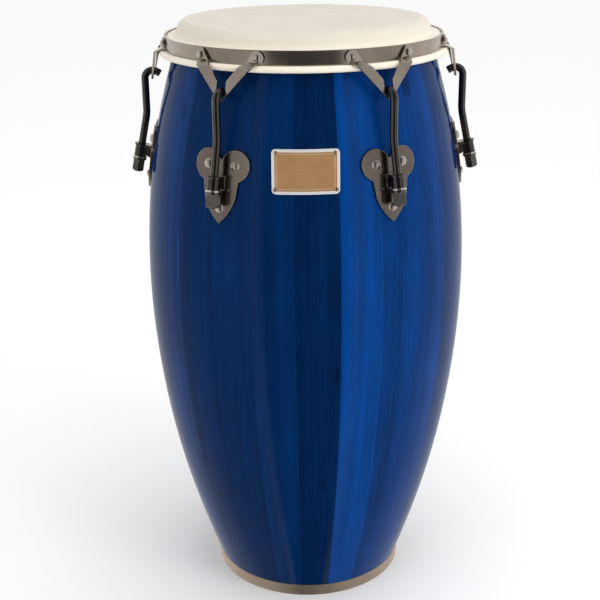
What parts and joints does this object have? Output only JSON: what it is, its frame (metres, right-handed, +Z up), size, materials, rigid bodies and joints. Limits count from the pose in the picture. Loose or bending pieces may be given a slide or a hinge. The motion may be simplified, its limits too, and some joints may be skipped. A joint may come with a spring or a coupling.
{
  "type": "conga drum",
  "caption": "Tall barrel-shaped hand drum with a staved shell, a rawhide head and a hook-tensioned rim tuned by nuts at its lugs.",
  "frame": {"origin": "on the floor under the middle of the drum, at the bottom centre of its box", "axes": "+Z up along the drum's axis; the name plate faces -Y; lugs 2 and 5 lie on the X axis"},
  "size_m": [0.4506, 0.4158, 0.762],
  "materials": {
    "shell_wood": "deep blue stain under gloss lacquer, bare wood inside",
    "rawhide": "natural rawhide, satin",
    "rim_steel": "pewter plating, brushed",
    "bracket_steel": "pewter plating, satin",
    "rivet_steel": "polished dome",
    "hoop_steel": "plain rod",
    "lug_steel": "pewter plating, satin",
    "hook_metal": "dark nickel plating, polished",
    "nut_metal": "dark nickel plating, polished",
    "bolt_metal": "polished",
    "inner_hardware": "zinc plated",
    "ring_metal": "warm brushed plating",
    "small_screw": "polished",
    "plate_metal": "blank brushed field with a raised border"
  },
  "bodies": {
    "shell": {"stave_01": "shell_wood", "stave_02": "shell_wood", "stave_03": "shell_wood", "stave_04": "shell_wood", "stave_05": "shell_wood", "stave_06": "shell_wood", "stave_07": "shell_wood", "stave_08": "shell_wood", "stave_09": "shell_wood", "stave_10": "shell_wood", "stave_11": "shell_wood", "stave_12": "shell_wood", "stave_13": "shell_wood", "stave_14": "shell_wood", "stave_15": "shell_wood", "stave_16": "shell_wood", "stave_17": "shell_wood", "stave_18": "shell_wood", "stave_19": "shell_wood", "stave_20": "shell_wood", "stave_21": "shell_wood", "stave_22": "shell_wood", "stave_23": "shell_wood", "stave_24": "shell_wood", "bottom_ring": "ring_metal", "ring_screws": "small_screw", "head_skin": "rawhide", "side_plate_1": "lug_steel", "side_plate_2": "lug_steel", "side_plate_3": "lug_steel", "side_plate_4": "lug_steel", "side_plate_5": "lug_steel", "side_plate_6": "lug_steel", "plate_bolts": "bolt_metal", "bolt_nuts": "inner_hardware", "backing_plates": "inner_hardware", "lug_washers": "bolt_metal", "name_plate": "plate_metal", "name_plate_nails": "small_screw"},
    "rim": {"rim_band": "rim_steel", "rim_bracket_1": "bracket_steel", "rim_bracket_2": "bracket_steel", "rim_bracket_3": "bracket_steel", "rim_bracket_4": "bracket_steel", "rim_bracket_5": "bracket_steel", "rim_bracket_6": "bracket_steel", "rim_rivets": "rivet_steel", "flesh_hoop": "hoop_steel"},
    "hook_1": {"tuning_hook_1": "hook_metal"},
    "hook_2": {"tuning_hook_2": "hook_metal"},
    "hook_3": {"tuning_hook_3": "hook_metal"},
    "hook_4": {"tuning_hook_4": "hook_metal"},
    "hook_5": {"tuning_hook_5": "hook_metal"},
    "hook_6": {"tuning_hook_6": "hook_metal"},
    "nut_1": {"tuning_nut_1": "nut_metal"},
    "nut_2": {"tuning_nut_2": "nut_metal"},
    "nut_3": {"tuning_nut_3": "nut_metal"},
    "nut_4": {"tuning_nut_4": "nut_metal"},
    "nut_5": {"tuning_nut_5": "nut_metal"},
    "nut_6": {"tuning_nut_6": "nut_metal"}
  },
  "joints": [
    {"name": "nut_1_turn", "type": "hinge", "parent": "shell", "child": "nut_1", "pos_m": [-0.1083, 0.18758, 0.57613], "axis": [0.104, -0.1801, 0.9781], "range_deg": [-1290, 965]},
    {"name": "nut_2_turn", "type": "hinge", "parent": "shell", "child": "nut_2", "pos_m": [-0.2166, 0, 0.57613], "axis": [0.2079, 0, 0.9781], "range_deg": [-1290, 965]},
    {"name": "nut_3_turn", "type": "hinge", "parent": "shell", "child": "nut_3", "pos_m": [-0.1083, -0.18758, 0.57613], "axis": [0.104, 0.1801, 0.9781], "range_deg": [-1290, 965]},
    {"name": "nut_4_turn", "type": "hinge", "parent": "shell", "child": "nut_4", "pos_m": [0.1083, -0.18758, 0.57613], "axis": [-0.104, 0.1801, 0.9781], "range_deg": [-1290, 965]},
    {"name": "nut_5_turn", "type": "hinge", "parent": "shell", "child": "nut_5", "pos_m": [0.2166, 0, 0.57613], "axis": [-0.2079, 0, 0.9781], "range_deg": [-1290, 965]},
    {"name": "nut_6_turn", "type": "hinge", "parent": "shell", "child": "nut_6", "pos_m": [0.1083, 0.18758, 0.57613], "axis": [-0.104, -0.1801, 0.9781], "range_deg": [-1290, 965]},
    {"name": "hook_1_slide", "type": "slide", "parent": "shell", "child": "hook_1", "axis": [0.104, -0.1801, 0.9781], "range_m": [-0.0043, 0.0057]},
    {"name": "hook_2_slide", "type": "slide", "parent": "shell", "child": "hook_2", "axis": [0.2079, 0, 0.9781], "range_m": [-0.0043, 0.0057]},
    {"name": "hook_3_slide", "type": "slide", "parent": "shell", "child": "hook_3", "axis": [0.104, 0.1801, 0.9781], "range_m": [-0.0043, 0.0057]},
    {"name": "hook_4_slide", "type": "slide", "parent": "shell", "child": "hook_4", "axis": [-0.104, 0.1801, 0.9781], "range_m": [-0.0043, 0.0057]},
    {"name": "hook_5_slide", "type": "slide", "parent": "shell", "child": "hook_5", "axis": [-0.2079, 0, 0.9781], "range_m": [-0.0043, 0.0057]},
    {"name": "hook_6_slide", "type": "slide", "parent": "shell", "child": "hook_6", "axis": [-0.104, -0.1801, 0.9781], "range_m": [-0.0043, 0.0057]},
    {"name": "rim_slide", "type": "slide", "parent": "shell", "child": "rim", "axis": [0, 0, 1], "range_m": [-0.0041, 0.0055], "deforming": ["head_skin"]}
  ],
  "couplings": [
    {"joint": "nut_1_turn", "follows": "rim_slide", "rad_per_m": -4046.3},
    {"joint": "nut_2_turn", "follows": "rim_slide", "rad_per_m": -4046.3},
    {"joint": "nut_3_turn", "follows": "rim_slide", "rad_per_m": -4046.3},
    {"joint": "nut_4_turn", "follows": "rim_slide", "rad_per_m": -4046.3},
    {"joint": "nut_5_turn", "follows": "rim_slide", "rad_per_m": -4046.3},
    {"joint": "nut_6_turn", "follows": "rim_slide", "rad_per_m": -4046.3},
    {"joint": "hook_1_slide", "follows": "rim_slide", "ratio": 1.0223},
    {"joint": "hook_2_slide", "follows": "rim_slide", "ratio": 1.0223},
    {"joint": "hook_3_slide", "follows": "rim_slide", "ratio": 1.0223},
    {"joint": "hook_4_slide", "follows": "rim_slide", "ratio": 1.0223},
    {"joint": "hook_5_slide", "follows": "rim_slide", "ratio": 1.0223},
    {"joint": "hook_6_slide", "follows": "rim_slide", "ratio": 1.0223}
  ]
}
